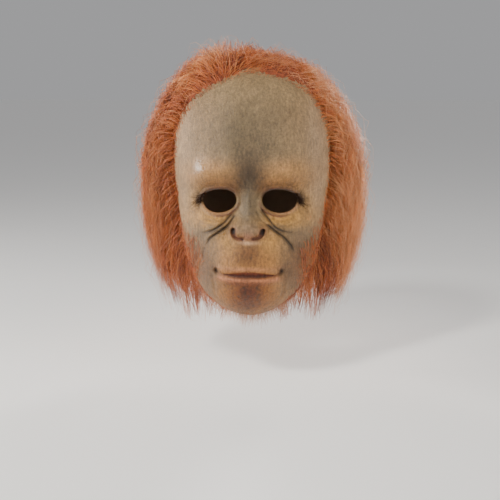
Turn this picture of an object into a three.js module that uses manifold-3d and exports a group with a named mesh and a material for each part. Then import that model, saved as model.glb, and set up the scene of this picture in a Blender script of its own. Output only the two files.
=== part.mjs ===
// An orangutan mask that goes over the whole head: a moulded rubber face with open eye holes, a thin
// scalp cap behind it, long red hair laid over the cap, a lash strip at each eye and a short fringe of
// hair under the chin. Millimetres, +Z up, the face looks along -Y, and the origin is the point inside
// the cap where the crown of the wearer's head rests.
import * as THREE from "three";
import { mergeVertices } from "three/addons/utils/BufferGeometryUtils.js";
import Module from "manifold-3d";

const wasm = await Module();
wasm.setup();

// Driving sizes of the head form, measured over the skin
const FACE_HEIGHT = 256; // crown to the rim under the chin, down the front
const SIDE_HEIGHT = 200; // crown to the rim below the ear
const NAPE_HEIGHT = 207; // crown to the rim at the nape
const HALF_WIDTH = 82; // middle plane to the temple
const FRONT_REACH = 100; // vertical axis through the crown to the front of the lips' base form
const BACK_REACH = 100; // the same axis to the back of the head
const SECTION_SQUARENESS = 2.2; // 2 is an ellipse, more is squarer

// Walls and the clearances between pieces
const SKIN_WALL = 3; // moulded rubber of the face
const CAP_WALL = 1.8; // thinner rubber of the scalp cap
const SEAM_REACH = 24; // face and cap meet on a plane this far in front of the axis
const SEAM_GAP = 0.3;
const HAIR_GAP = 0.9; // from the skin to the backing of the hair
const TRIM_GAP = 0.3; // from the skin to the lash strips and the fringe

// Eyes, nose and mouth: a drop is measured down from the outside of the crown
const EYE_SPACING = 62;
const EYE_DROP = 138;
const EYE_WIDTH = 35;
const EYE_HEIGHT = 24;
const NOSE_DROP = 166;
const NOSE_WIDTH = 32;
const MOUTH_DROP = 205;
const MOUTH_WIDTH = 61;

// Hair, lashes and fringe
const HAIR_HALF_WIDTH = 118;
const HAIR_BACK_REACH = 130;
const HAIR_FRONT_REACH = 50;
const HAIR_HEIGHT = 250; // crown to the bottom of the shortest locks
const HAIR_RISE = 6; // how far the hair stands above the skin of the crown
const TUFT_RISE = 12; // the fuller tuft beside the parting
const LOCK_COUNT = 22;
const LOCK_RELIEF = 0.055; // share of the reach that a lock stands proud
const LOCK_TIP = 16; // how far a lock's tip hangs below the notches beside it
const LASH_LENGTH = 8;
const LASH_COUNT = 6;
const FRINGE_LENGTH = 10;
const FRINGE_COUNT = 15;
const FRINGE_SPREAD = 38; // degrees to each side of the chin
const STRIP_WIDTH = 2.4; // the bands that hold the lashes and the fringe
const STRIP_THICKNESS = 1.2;

// Sections of the head from crown to rim. Reaches are shares of the reach or width of that side, and
// drops are shares of the height of that side.
const SECTIONS = [
  { front: 0.0, frontDrop: 0.0, side: 0.0, sideDrop: 0.0, back: 0.0, backDrop: 0.0 },
  { front: 0.27, frontDrop: 0.014, side: 0.28, sideDrop: 0.015, back: 0.27, backDrop: 0.017 },
  { front: 0.51, frontDrop: 0.048, side: 0.537, sideDrop: 0.055, back: 0.52, backDrop: 0.058 },
  { front: 0.7, frontDrop: 0.104, side: 0.744, sideDrop: 0.125, back: 0.73, backDrop: 0.126 },
  { front: 0.83, frontDrop: 0.18, side: 0.89, sideDrop: 0.22, back: 0.88, backDrop: 0.217 },
  { front: 0.91, frontDrop: 0.268, side: 0.976, sideDrop: 0.325, back: 0.97, backDrop: 0.319 },
  { front: 0.95, frontDrop: 0.36, side: 1.0, sideDrop: 0.43, back: 1.0, backDrop: 0.42 },
  { front: 0.95, frontDrop: 0.448, side: 1.0, sideDrop: 0.53, back: 0.99, backDrop: 0.517 },
  { front: 0.92, frontDrop: 0.532, side: 0.988, sideDrop: 0.62, back: 0.95, backDrop: 0.604 },
  { front: 0.92, frontDrop: 0.608, side: 0.963, sideDrop: 0.7, back: 0.89, backDrop: 0.681 },
  { front: 0.95, frontDrop: 0.68, side: 0.939, sideDrop: 0.77, back: 0.82, backDrop: 0.754 },
  { front: 0.98, frontDrop: 0.748, side: 0.915, sideDrop: 0.83, back: 0.76, backDrop: 0.816 },
  { front: 1.0, frontDrop: 0.816, side: 0.89, sideDrop: 0.88, back: 0.71, backDrop: 0.87 },
  { front: 0.98, frontDrop: 0.888, side: 0.866, sideDrop: 0.92, back: 0.68, backDrop: 0.913 },
  { front: 0.91, frontDrop: 0.952, side: 0.841, sideDrop: 0.955, back: 0.66, backDrop: 0.952 },
  { front: 0.76, frontDrop: 0.988, side: 0.805, sideDrop: 0.985, back: 0.64, backDrop: 0.981 },
  { front: 0.6, frontDrop: 1.0, side: 0.756, sideDrop: 1.0, back: 0.62, backDrop: 1.0 },
];
const RIM = SECTIONS.length - 1;

// Sections of the hair's outer form from its top to its tips: reaches are shares of the hair's width or
// reach on that side, and the drop is a share of the hair's height, negative above the crown.
const HAIR_SECTIONS = [
  { drop: -0.018, side: 0.3, back: 0.3, front: 0.6 },
  { drop: 0.016, side: 0.49, back: 0.5, front: 0.93 },
  { drop: 0.07, side: 0.65, back: 0.67, front: 1.08 },
  { drop: 0.15, side: 0.785, back: 0.81, front: 1.34 },
  { drop: 0.25, side: 0.9, back: 0.92, front: 1.24 },
  { drop: 0.36, side: 0.975, back: 0.98, front: 1.0 },
  { drop: 0.47, side: 1.0, back: 1.0, front: 0.88 },
  { drop: 0.58, side: 1.0, back: 1.0, front: 0.8 },
  { drop: 0.69, side: 0.985, back: 0.98, front: 0.78 },
  { drop: 0.79, side: 0.95, back: 0.94, front: 0.86 },
  { drop: 0.89, side: 0.89, back: 0.88, front: 0.96 },
  { drop: 1.0, side: 0.81, back: 0.79, front: 0.94 },
];

// Where the lengths in FEATURES and CREASES start from, and the size that they are shares of
const ANCHORS = {
  eye: { across: EYE_SPACING / 2, drop: EYE_DROP, unit: EYE_WIDTH },
  nose: { across: 0, drop: NOSE_DROP, unit: NOSE_WIDTH },
  mouth: { across: 0, drop: MOUTH_DROP, unit: MOUTH_WIDTH },
};

// Swellings and hollows of the face: across is outwards, down is downwards, raise is forwards. A
// feature that is deep shapes the inside of the wall too.
const FEATURES = [
  { on: "eye", across: -0.03, down: 0.0, wide: 0.6, tall: 0.42, raise: -0.2, edge: 1.2, deep: true },
  { on: "eye", across: 0.06, down: -0.78, wide: 0.6, tall: 0.32, raise: 0.12, edge: 1, deep: true },
  { on: "eye", across: 0.0, down: -0.46, wide: 0.5, tall: 0.12, raise: 0.08, edge: 1, deep: false },
  { on: "eye", across: 0.03, down: 0.5, wide: 0.48, tall: 0.15, raise: 0.1, edge: 1, deep: false },
  { on: "eye", across: -0.56, down: 0.14, wide: 0.14, tall: 0.22, raise: -0.08, edge: 1, deep: false },
  { on: "eye", across: 0.58, down: 0.04, wide: 0.16, tall: 0.16, raise: -0.07, edge: 1, deep: false },
  { on: "eye", across: 0.5, down: 0.86, wide: 0.52, tall: 0.34, raise: 0.11, edge: 1, deep: true },
  { on: "nose", across: 0.0, down: -0.9, wide: 0.24, tall: 0.4, raise: 0.12, edge: 1, deep: false },
  { on: "nose", across: 0.0, down: -0.38, wide: 0.28, tall: 0.32, raise: 0.16, edge: 1, deep: false },
  { on: "nose", across: 0.0, down: -0.04, wide: 0.3, tall: 0.2, raise: 0.24, edge: 1.2, deep: false },
  { on: "nose", across: 0.36, down: 0.02, wide: 0.15, tall: 0.18, raise: 0.19, edge: 1.1, deep: false },
  { on: "nose", across: 0.34, down: 0.11, wide: 0.11, tall: 0.08, raise: -0.25, edge: 1.2, deep: false },
  { on: "nose", across: 0.0, down: 0.16, wide: 0.14, tall: 0.12, raise: 0.08, edge: 1, deep: false },
  { on: "nose", across: 0.64, down: -0.16, wide: 0.16, tall: 0.3, raise: -0.08, edge: 1, deep: false },
  { on: "mouth", across: 0.0, down: -0.05, wide: 0.56, tall: 0.46, raise: 0.17, edge: 1.6, deep: true },
  { on: "mouth", across: 0.0, down: -0.14, wide: 0.42, tall: 0.1, raise: 0.04, edge: 1, deep: false },
  { on: "mouth", across: 0.0, down: 0.12, wide: 0.4, tall: 0.07, raise: 0.045, edge: 1, deep: false },
  { on: "mouth", across: 0.0, down: 0.4, wide: 0.33, tall: 0.13, raise: 0.05, edge: 1, deep: false },
  { on: "mouth", across: 0.52, down: -0.03, wide: 0.07, tall: 0.08, raise: -0.04, edge: 1, deep: false },
  { on: "mouth", across: 0.8, down: -0.3, wide: 0.17, tall: 0.28, raise: -0.06, edge: 1, deep: true },
];

// Creases pressed into the skin, each a curve from its start past its bend to its end
const CREASES = [
  { on: "mouth", start: [-0.5, -0.025], bend: [0.0, 0.05], end: [0.5, -0.025], wide: 0.04, raise: -0.045 },
  { on: "nose", start: [0.55, -0.4], bend: [1.16, 0.02], end: [1.42, 0.6], wide: 0.085, raise: -0.055 },
  { on: "nose", start: [0.72, -0.42], bend: [1.0, -0.08], end: [1.44, -0.04], wide: 0.08, raise: -0.045 },
];
const CREASE_STEPS = 10;

// A value of one column of a table of sections, at a place between its rows
function columnAt(rows, column, place) {
  const last = rows.length - 1;
  const row = Math.min(Math.floor(place), last - 1);
  const share = place - row;
  const value = (i) => rows[Math.max(0, Math.min(last, i))][column];
  const [a, b, c, d] = [value(row - 1), value(row), value(row + 1), value(row + 2)];
  const slope = c - a;
  const bend = 2 * a - 5 * b + 4 * c - d;
  const turn = 3 * b - a - 3 * c + d;
  return 0.5 * (2 * b + slope * share + bend * share ** 2 + turn * share ** 3);
}

// A point of the plain head form, at an azimuth from the front and a place between crown and rim
function headPoint(azimuth, place) {
  if (place <= 0) return new THREE.Vector3(0, 0, SKIN_WALL);
  const forward = Math.cos(azimuth) > 0;
  const reach = forward
    ? columnAt(SECTIONS, "front", place) * FRONT_REACH
    : columnAt(SECTIONS, "back", place) * BACK_REACH;
  const drop = forward
    ? columnAt(SECTIONS, "frontDrop", place) * FACE_HEIGHT
    : columnAt(SECTIONS, "backDrop", place) * NAPE_HEIGHT;
  const side = columnAt(SECTIONS, "side", place) * HALF_WIDTH;
  const sideDrop = columnAt(SECTIONS, "sideDrop", place) * SIDE_HEIGHT;
  const [s, c] = [Math.sin(azimuth), Math.cos(azimuth)];
  const n = SECTION_SQUARENESS;
  const radius = (Math.abs(s / side) ** n + Math.abs(c / reach) ** n) ** (-1 / n);
  return new THREE.Vector3(radius * s, -radius * c, SKIN_WALL - drop * c * c - sideDrop * s * s);
}

// How far a swelling or hollow moves the skin forwards, on both sides of the middle plane
function featureAt(feature, x, drop) {
  const { across, drop: anchorDrop, unit } = ANCHORS[feature.on];
  const centre = across + feature.across * unit;
  const down = (drop - anchorDrop - feature.down * unit) / (feature.tall * unit);
  const sides = centre === 0 ? [0] : [-centre, centre];
  const shares = sides.map((side) => {
    const over = (x - side) / (feature.wide * unit);
    return Math.exp(-0.5 * (over ** 2 + down ** 2) ** feature.edge);
  });
  return feature.raise * unit * Math.max(...shares);
}

// The curve of a crease, as points measured from the middle plane and the crown
function creasePath(crease) {
  const { across, drop, unit } = ANCHORS[crease.on];
  const place = ([x, y]) => new THREE.Vector2(across + x * unit, drop + y * unit);
  const curve = new THREE.QuadraticBezierCurve(
    place(crease.start),
    place(crease.bend),
    place(crease.end),
  );
  return curve.getPoints(CREASE_STEPS);
}
const CREASE_PATHS = CREASES.map(creasePath);

// How far a crease moves the skin forwards
function creaseAt(crease, path, x, drop) {
  const { across, unit } = ANCHORS[crease.on];
  const twoSided = across !== 0 || crease.start[0] > 0;
  const at = new THREE.Vector2(twoSided ? Math.abs(x) : x, drop);
  const nearest = Math.min(...path.map((point) => point.distanceTo(at)));
  return crease.raise * unit * Math.exp(-0.5 * (nearest / (crease.wide * unit)) ** 2);
}

// A point of the skin: the head form moved forwards by the features of the face
function skinPoint(azimuth, place, deepOnly = false) {
  const point = headPoint(azimuth, place);
  const drop = SKIN_WALL - point.z;
  const facing = THREE.MathUtils.smoothstep(-point.y, 0, SEAM_REACH);
  if (facing === 0) return point;
  let forward = 0;
  for (const feature of FEATURES) {
    if (feature.deep || !deepOnly) forward += featureAt(feature, point.x, drop);
  }
  if (!deepOnly) {
    CREASES.forEach((crease, i) => {
      forward += creaseAt(crease, CREASE_PATHS[i], point.x, drop);
    });
  }
  point.y -= forward * facing;
  return point;
}

// A point at a distance outside the skin's main form, or inside it where the distance is negative
const AZIMUTH_STEP = THREE.MathUtils.degToRad(1.5);
const PLACE_STEP = 0.06;
function offsetPoint(azimuth, place, distance) {
  if (place <= 0) return new THREE.Vector3(0, 0, SKIN_WALL + distance);
  const at = (a, p) => skinPoint(a, p, true);
  const low = Math.max(place - PLACE_STEP, PLACE_STEP / 2);
  const high = Math.min(place + PLACE_STEP, RIM);
  const down = at(azimuth, high).sub(at(azimuth, low));
  const round = at(azimuth + AZIMUTH_STEP, place).sub(at(azimuth - AZIMUTH_STEP, place));
  const normal = down.cross(round).normalize();
  return at(azimuth, place).addScaledVector(normal, distance);
}

// A closed surface from a pole through rings, each a list of points, to a point under the last ring
function ringSolid(pole, rings, foot) {
  const count = rings[0].length;
  const points = [pole, ...rings.flat(), foot];
  const corner = (ring, i) => 1 + ring * count + (i % count);
  const index = [];
  for (let i = 0; i < count; i++) {
    index.push(0, corner(0, i), corner(0, i + 1));
    for (let ring = 0; ring + 1 < rings.length; ring++) {
      index.push(corner(ring, i), corner(ring + 1, i), corner(ring + 1, i + 1));
      index.push(corner(ring, i), corner(ring + 1, i + 1), corner(ring, i + 1));
    }
    index.push(points.length - 1, corner(rings.length - 1, i + 1), corner(rings.length - 1, i));
  }
  const geometry = new THREE.BufferGeometry().setFromPoints(points);
  return geometry.setIndex(index);
}

// three.js geometry to a solid and back
function solidOf(geometry) {
  const bare = geometry.clone();
  bare.deleteAttribute("normal");
  bare.deleteAttribute("uv");
  const merged = mergeVertices(bare, 1e-4);
  return new wasm.Manifold(
    new wasm.Mesh({
      numProp: 3,
      vertProperties: merged.attributes.position.array,
      triVerts: new Uint32Array(merged.index.array),
    }),
  );
}
function geometryOf(solid) {
  const mesh = solid.getMesh();
  const geometry = new THREE.BufferGeometry();
  geometry.setAttribute("position", new THREE.BufferAttribute(mesh.vertProperties, 3));
  geometry.setIndex(new THREE.BufferAttribute(mesh.triVerts, 1));
  geometry.computeVertexNormals();
  return geometry;
}

// Azimuths all round, from bands that each run up to an angle with a number of equal steps
function azimuths(bands) {
  const half = [0];
  let from = 0;
  for (const { to, steps } of bands) {
    for (let i = 1; i <= steps; i++) half.push(from + ((to - from) * i) / steps);
    from = to;
  }
  const other = half.slice(1, -1).map((angle) => -angle);
  return [...half, ...other.reverse()].map((angle) => THREE.MathUtils.degToRad(angle));
}

// Places between crown and rim, from bands that each run up to a section with a number of steps
function places(bands) {
  const all = [];
  let from = 0;
  for (const { to, steps } of bands) {
    for (let i = 1; i <= steps; i++) all.push(from + ((to - from) * i) / steps);
    from = to;
  }
  return all;
}
const FACE_AZIMUTHS = azimuths([
  { to: 24, steps: 12 },
  { to: 56, steps: 8 },
  { to: 96, steps: 5 },
  { to: 180, steps: 3 },
]);
const FACE_PLACES = places([
  { to: 6.6, steps: 6 },
  { to: 13.2, steps: 30 },
  { to: RIM, steps: 3 },
]);
const PLAIN_AZIMUTHS = azimuths([
  { to: 96, steps: 12 },
  { to: 180, steps: 7 },
]);
const CAP_AZIMUTHS = azimuths([
  { to: 72, steps: 2 },
  { to: 96, steps: 3 },
  { to: 180, steps: 7 },
]);
const PLAIN_PLACES = places([
  { to: 6.6, steps: 6 },
  { to: 13.2, steps: 6 },
  { to: RIM, steps: 3 },
]);
const BELOW_RIM = FACE_HEIGHT * 0.08; // how far a cutter runs on past the rim

// A point under the middle of a ring, level with its mean height
function footOf(ring) {
  const mean = ring.reduce((sum, point) => sum + point.z, 0) / ring.length;
  return new THREE.Vector3(0, 0, mean);
}

// The head form filled solid, its surface at a distance from the skin's main form, and run on past the
// rim where it is to cut
function filledHead(distance, round = PLAIN_AZIMUTHS, past = BELOW_RIM) {
  const rings = PLAIN_PLACES.map((place) =>
    round.map((azimuth) => offsetPoint(azimuth, place, distance)),
  );
  if (past > 0) {
    const rim = rings[rings.length - 1];
    rings.push(rim.map((point) => point.clone().setZ(point.z - past)));
  }
  const foot = footOf(rings[rings.length - 1]);
  return solidOf(ringSolid(offsetPoint(0, 0, distance), rings, foot));
}

// The space in front of a vertical plane, or behind it
function halfSpace(y, infront) {
  const size = 4 * (FACE_HEIGHT + HAIR_BACK_REACH);
  const middle = infront ? y - size / 2 : y + size / 2;
  return solidOf(new THREE.BoxGeometry(size, size, size).translate(0, middle, 0));
}

// A prism through one eye hole, flatter along the upper lid than along the lower
function eyeCutter(side) {
  const shape = new THREE.Shape();
  const [half, upper, lower] = [EYE_WIDTH / 2, EYE_HEIGHT * 0.46, EYE_HEIGHT * 0.54];
  shape.absellipse(0, 0, half, lower, Math.PI, 2 * Math.PI, false);
  shape.absellipse(0, 0, half, upper, 0, Math.PI, false);
  const prism = new THREE.ExtrudeGeometry(shape, {
    depth: FRONT_REACH,
    curveSegments: 12,
    bevelEnabled: false,
  });
  prism.rotateX(Math.PI / 2);
  const place = new THREE.Matrix4().makeTranslation(
    (side * EYE_SPACING) / 2,
    -SEAM_REACH,
    SKIN_WALL - EYE_DROP,
  );
  return solidOf(prism.applyMatrix4(place));
}

// The moulded skin filled solid
function filledFace() {
  const rings = FACE_PLACES.map((place) =>
    FACE_AZIMUTHS.map((azimuth) => skinPoint(azimuth, place)),
  );
  return solidOf(ringSolid(skinPoint(0, 0), rings, footOf(rings[rings.length - 1])));
}

// The moulded face: skin outside, main form offset inside, cut off at the seam, with two eye holes
function faceSkin() {
  return filledFace()
    .subtract(filledHead(-SKIN_WALL))
    .intersect(halfSpace(-SEAM_REACH, true))
    .subtract(eyeCutter(-1))
    .subtract(eyeCutter(1));
}

// The scalp cap: the rest of the head form, one plain thin wall open at the neck
function scalpCap() {
  return filledHead(0, CAP_AZIMUTHS, 0)
    .intersect(halfSpace(-SEAM_REACH + SEAM_GAP, false))
    .subtract(filledHead(-CAP_WALL, CAP_AZIMUTHS));
}

// How proud a lock stands at an azimuth: a round back, with a sharp notch between two locks. The locks
// lean as they fall, away from the face.
const LOCK_LEAN = 0.35;
function lockShare(azimuth, place) {
  const lean = (Math.sign(Math.sin(azimuth)) * LOCK_LEAN * place) / HAIR_SECTIONS.length;
  const turn = ((azimuth + lean) * LOCK_COUNT) / (2 * Math.PI);
  return Math.abs(Math.sin(Math.PI * turn));
}

// A point of the hair's outer form
function hairPoint(azimuth, place) {
  const forward = Math.cos(azimuth) > 0;
  const side = columnAt(HAIR_SECTIONS, "side", place) * HAIR_HALF_WIDTH;
  const reach = forward
    ? columnAt(HAIR_SECTIONS, "front", place) * HAIR_FRONT_REACH
    : columnAt(HAIR_SECTIONS, "back", place) * HAIR_BACK_REACH;
  const [s, c] = [Math.sin(azimuth), Math.cos(azimuth)];
  const proud = 1 + LOCK_RELIEF * (lockShare(azimuth, place) - 0.5);
  const radius = proud / Math.hypot(s / side, c / reach);
  const last = HAIR_SECTIONS.length - 1;
  const tip = place === last ? LOCK_TIP * lockShare(azimuth, place) : 0;
  const drop = columnAt(HAIR_SECTIONS, "drop", place) * HAIR_HEIGHT;
  const tuft = tuftRise(radius * s, -radius * c);
  return new THREE.Vector3(radius * s, -radius * c, SKIN_WALL - drop - tip + tuft);
}

// The hair stands higher over the right temple of the wearer, beside the parting
function tuftRise(x, y) {
  const [across, along] = [(x + HALF_WIDTH * 0.45) / (HALF_WIDTH * 0.4), y / HALF_WIDTH];
  return TUFT_RISE * Math.exp(-0.5 * (across ** 2 + along ** 2));
}

// The hair: its outer form in locks, fused to a backing that fits over the cap and the face's edge
const HAIR_COLUMNS_PER_LOCK = 4;
function hair() {
  const columns = LOCK_COUNT * HAIR_COLUMNS_PER_LOCK;
  const round = Array.from({ length: columns }, (_, i) => (i / columns) * 2 * Math.PI);
  const rings = HAIR_SECTIONS.map((_, place) => round.map((azimuth) => hairPoint(azimuth, place)));
  const pole = new THREE.Vector3(0, 0, SKIN_WALL + HAIR_RISE);
  const filled = ringSolid(pole, rings, footOf(rings[rings.length - 1]));
  return solidOf(filled).subtract(filledHead(HAIR_GAP)).subtract(neckSpace());
}

// The space under the rim where the neck passes, kept clear of hair
function neckSpace() {
  const rim = PLAIN_AZIMUTHS.map((azimuth) => offsetPoint(azimuth, RIM, HAIR_GAP));
  const height = HAIR_HEIGHT + LOCK_TIP - SIDE_HEIGHT + BELOW_RIM;
  const below = rim.map((point) => point.clone().setZ(-SIDE_HEIGHT - height));
  const above = rim.map((point) => point.clone().setZ(-SIDE_HEIGHT));
  return solidOf(ringSolid(footOf(above), [above, below], footOf(below)));
}

// The point of the skin straight behind a place seen from the front, closed in on by equal shares
const CLOSING_STEPS = 24;
function skinBehind(x, drop) {
  let azimuth = x / FRONT_REACH;
  let place = (drop / FACE_HEIGHT) * RIM;
  for (let i = 0; i < CLOSING_STEPS; i++) {
    const point = skinPoint(azimuth, place);
    azimuth += (0.7 * (x - point.x)) / FRONT_REACH;
    place += (0.7 * RIM * (drop + point.z - SKIN_WALL)) / FACE_HEIGHT;
  }
  return skinPoint(azimuth, place);
}

// Four corners round a centre, across a side and an outward direction
function corners(centre, side, out, halfWidth, halfThickness) {
  return [[1, 1], [-1, 1], [-1, -1], [1, -1]].map(([a, b]) =>
    centre
      .clone()
      .addScaledVector(side, a * halfWidth)
      .addScaledVector(out, b * halfThickness),
  );
}

// A flat strip along a path, half sunk in the skin, its broad side facing outwards
function strip(path, out) {
  const rings = path.map((point, i) => {
    const before = path[Math.max(0, i - 1)];
    const after = path[Math.min(path.length - 1, i + 1)];
    const side = after.clone().sub(before).cross(out[i]).normalize();
    return corners(point, side, out[i], STRIP_WIDTH / 2, STRIP_THICKNESS);
  });
  return solidOf(ringSolid(path[0], rings, path[path.length - 1]));
}

// One lash or one lock of the fringe: a flat spike that narrows to its tip
function spike(root, along, facing, length) {
  const side = facing.clone().cross(along).normalize();
  const out = along.clone().cross(side).normalize();
  const ring = (share, size) =>
    corners(
      root.clone().addScaledVector(along, length * share),
      side,
      out,
      (size * STRIP_WIDTH) / 2,
      (size * STRIP_THICKNESS) / 2,
    );
  const tip = root.clone().addScaledVector(along, length);
  return solidOf(ringSolid(tip, [ring(0.5, 0.75), ring(0, 1)], root));
}

// A strip and its spikes joined, with whatever would touch the skin taken off
function trim(path, out, spikes, clearance) {
  const joined = spikes.reduce((solid, next) => solid.add(next), strip(path, out));
  return joined.subtract(filledFace().translate(clearance.toArray()));
}

// The lashes of one eye, round the outer end of its upper lid
const LASH_FROM = THREE.MathUtils.degToRad(-12);
const LASH_TO = THREE.MathUtils.degToRad(74);
const FORWARD = new THREE.Vector3(0, -1, 0);
function lashes(side) {
  const rim = STRIP_WIDTH * 0.8; // from the edge of the eye hole to the middle of the strip
  const turns = Array.from({ length: 2 * LASH_COUNT - 1 }, (_, i) => {
    const share = i / (2 * LASH_COUNT - 2);
    return LASH_FROM + share * (LASH_TO - LASH_FROM);
  });
  const path = turns.map((turn) => {
    const across = EYE_SPACING / 2 + (EYE_WIDTH / 2 + rim) * Math.cos(turn);
    return skinBehind(side * across, EYE_DROP - (EYE_HEIGHT * 0.5 + rim) * Math.sin(turn));
  });
  const roots = turns.filter((_, i) => i % 2 === 0);
  const spikes = roots.map((turn, i) => {
    const away = new THREE.Vector3(side * Math.cos(turn), 0, Math.sin(turn) + 0.3);
    const along = away.normalize().addScaledVector(FORWARD, 0.7).normalize();
    return spike(path[2 * i], along, FORWARD, LASH_LENGTH);
  });
  const out = path.map(() => FORWARD);
  return trim(path, out, spikes, FORWARD.clone().multiplyScalar(TRIM_GAP * 1.4));
}

// The fringe that hangs from under the chin, its locks longer and shorter by turns
const FRINGE_PLACE = 15;
function chinFringe() {
  const under = new THREE.Vector3(0, -1, -1).normalize();
  const turns = Array.from({ length: FRINGE_COUNT }, (_, i) =>
    THREE.MathUtils.degToRad(FRINGE_SPREAD * ((2 * i) / (FRINGE_COUNT - 1) - 1)),
  );
  const path = turns.map((turn) => skinPoint(turn, FRINGE_PLACE));
  const out = turns.map((turn) =>
    new THREE.Vector3(Math.sin(turn), -Math.cos(turn), -1).normalize(),
  );
  const spikes = turns.map((turn, i) => {
    const along = new THREE.Vector3(0.3 * Math.sin(turn), -0.3 * Math.cos(turn), -1).normalize();
    const length = FRINGE_LENGTH * (1 - 0.22 * Math.abs(Math.sin(2.2 * i)));
    return spike(path[i], along, out[i], length);
  });
  return trim(path, out, spikes, under.multiplyScalar(TRIM_GAP * 1.4));
}

// One piece as a named mesh
function piece(name, solid, color, roughness) {
  const material = new THREE.MeshStandardMaterial({ color, roughness, metalness: 0 });
  const mesh = new THREE.Mesh(geometryOf(solid), material);
  mesh.name = name;
  return mesh;
}

const mask = new THREE.Group();
mask.name = "orangutan_mask";
mask.add(
  piece("face_skin", faceSkin(), "#a08260", 0.55),
  piece("scalp_cap", scalpCap(), "#6f6250", 0.6),
  piece("hair", hair(), "#b5572a", 0.7),
  piece("lash_left", lashes(1), "#2b1c14", 0.6),
  piece("lash_right", lashes(-1), "#2b1c14", 0.6),
  piece("chin_fringe", chinFringe(), "#b87a4c", 0.7),
);
export default mask;
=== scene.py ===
# An orangutan mask for the whole head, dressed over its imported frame: a painted rubber face, a thin
# scalp cap, long red hair strand by strand, lashes and a chin fringe. Tables are in millimetres, as the
# frame's source has them, and each mesh is made in metres. +Z up, the face looks along -Y.
import math
from collections import namedtuple

import bpy
import numpy as np
from mathutils import Matrix, Vector


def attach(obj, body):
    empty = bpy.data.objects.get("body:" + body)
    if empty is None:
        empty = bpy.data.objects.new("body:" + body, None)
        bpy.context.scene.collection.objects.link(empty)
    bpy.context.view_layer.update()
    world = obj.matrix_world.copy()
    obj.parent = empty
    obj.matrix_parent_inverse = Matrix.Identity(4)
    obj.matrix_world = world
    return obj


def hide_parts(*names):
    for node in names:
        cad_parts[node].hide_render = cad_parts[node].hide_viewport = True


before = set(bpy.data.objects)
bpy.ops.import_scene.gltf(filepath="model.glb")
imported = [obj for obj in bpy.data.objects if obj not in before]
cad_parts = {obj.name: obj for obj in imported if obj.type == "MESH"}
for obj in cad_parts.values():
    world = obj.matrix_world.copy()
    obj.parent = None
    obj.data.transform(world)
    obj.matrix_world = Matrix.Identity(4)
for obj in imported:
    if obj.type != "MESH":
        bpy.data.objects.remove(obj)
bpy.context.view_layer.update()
bpy.ops.object.select_all(action="DESELECT")

MM = 0.001

# Sizes of the head form
FACE_HEIGHT = 256.0
SIDE_HEIGHT = 200.0
NAPE_HEIGHT = 207.0
HALF_WIDTH = 82.0
FRONT_REACH = 100.0
BACK_REACH = 100.0
SQUARENESS = 2.2
SKIN_TOP = 3.0  # outside of the crown over the origin
SEAM_REACH = 24.0
SEAM_GAP = 0.3
FACE_WALL = 2.4
CAP_WALL = 1.8

# Sections of the head from crown to rim: front reach, front drop, side reach, side drop, back reach,
# back drop, all as shares
SECTIONS = np.array([
    (0, 0, 0, 0, 0, 0),
    (0.27, 0.014, 0.28, 0.015, 0.27, 0.017),
    (0.51, 0.048, 0.537, 0.055, 0.52, 0.058),
    (0.7, 0.104, 0.744, 0.125, 0.73, 0.126),
    (0.83, 0.18, 0.89, 0.22, 0.88, 0.217),
    (0.91, 0.268, 0.976, 0.325, 0.97, 0.319),
    (0.95, 0.36, 1, 0.43, 1, 0.42),
    (0.95, 0.448, 1, 0.53, 0.99, 0.517),
    (0.92, 0.532, 0.988, 0.62, 0.95, 0.604),
    (0.92, 0.608, 0.963, 0.7, 0.89, 0.681),
    (0.95, 0.68, 0.939, 0.77, 0.82, 0.754),
    (0.98, 0.748, 0.915, 0.83, 0.76, 0.816),
    (1, 0.816, 0.89, 0.88, 0.71, 0.87),
    (0.98, 0.888, 0.866, 0.92, 0.68, 0.913),
    (0.91, 0.952, 0.841, 0.955, 0.66, 0.952),
    (0.76, 0.988, 0.805, 0.985, 0.64, 0.981),
    (0.6, 1, 0.756, 1, 0.62, 1),
])
RIM = len(SECTIONS) - 1

# Sections of the hair's outer form: drop, side, back, front, and the place on the head beside each
HAIR_HALF_WIDTH = 118.0
HAIR_BACK_REACH = 130.0
HAIR_FRONT_REACH = 50.0
HAIR_HEIGHT = 250.0
TUFT_RISE = 12.0
HAIR_SECTIONS = np.array([
    (-0.03, 0, 0, 0, 0),
    (-0.018, 0.3, 0.3, 0.6, 1),
    (0.016, 0.49, 0.5, 0.93, 1.8),
    (0.07, 0.65, 0.67, 1.08, 2.7),
    (0.15, 0.785, 0.81, 1.34, 3.7),
    (0.25, 0.9, 0.92, 1.24, 4.9),
    (0.36, 0.975, 0.98, 1, 6.1),
    (0.47, 1, 1, 0.88, 7.4),
    (0.58, 1, 1, 0.8, 9.1),
    (0.69, 0.985, 0.98, 0.78, 11),
    (0.79, 0.95, 0.94, 0.86, 13.5),
    (0.89, 0.89, 0.88, 0.96, 15.6),
    (1, 0.81, 0.79, 0.94, 18),
    (1.06, 0.77, 0.75, 0.9, 19.5),
])


def column_at(table, column, place):
    """A column of a table of sections at places that may lie between its rows."""
    last = len(table) - 1
    row = np.clip(np.floor(place).astype(int), 0, last - 1)
    share = place - row
    a, b, c, d = (table[np.clip(row + k, 0, last), column] for k in (-1, 0, 1, 2))
    return 0.5 * (
        2 * b + (c - a) * share + (2 * a - 5 * b + 4 * c - d) * share**2
        + (3 * b - a - 3 * c + d) * share**3
    )


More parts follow.
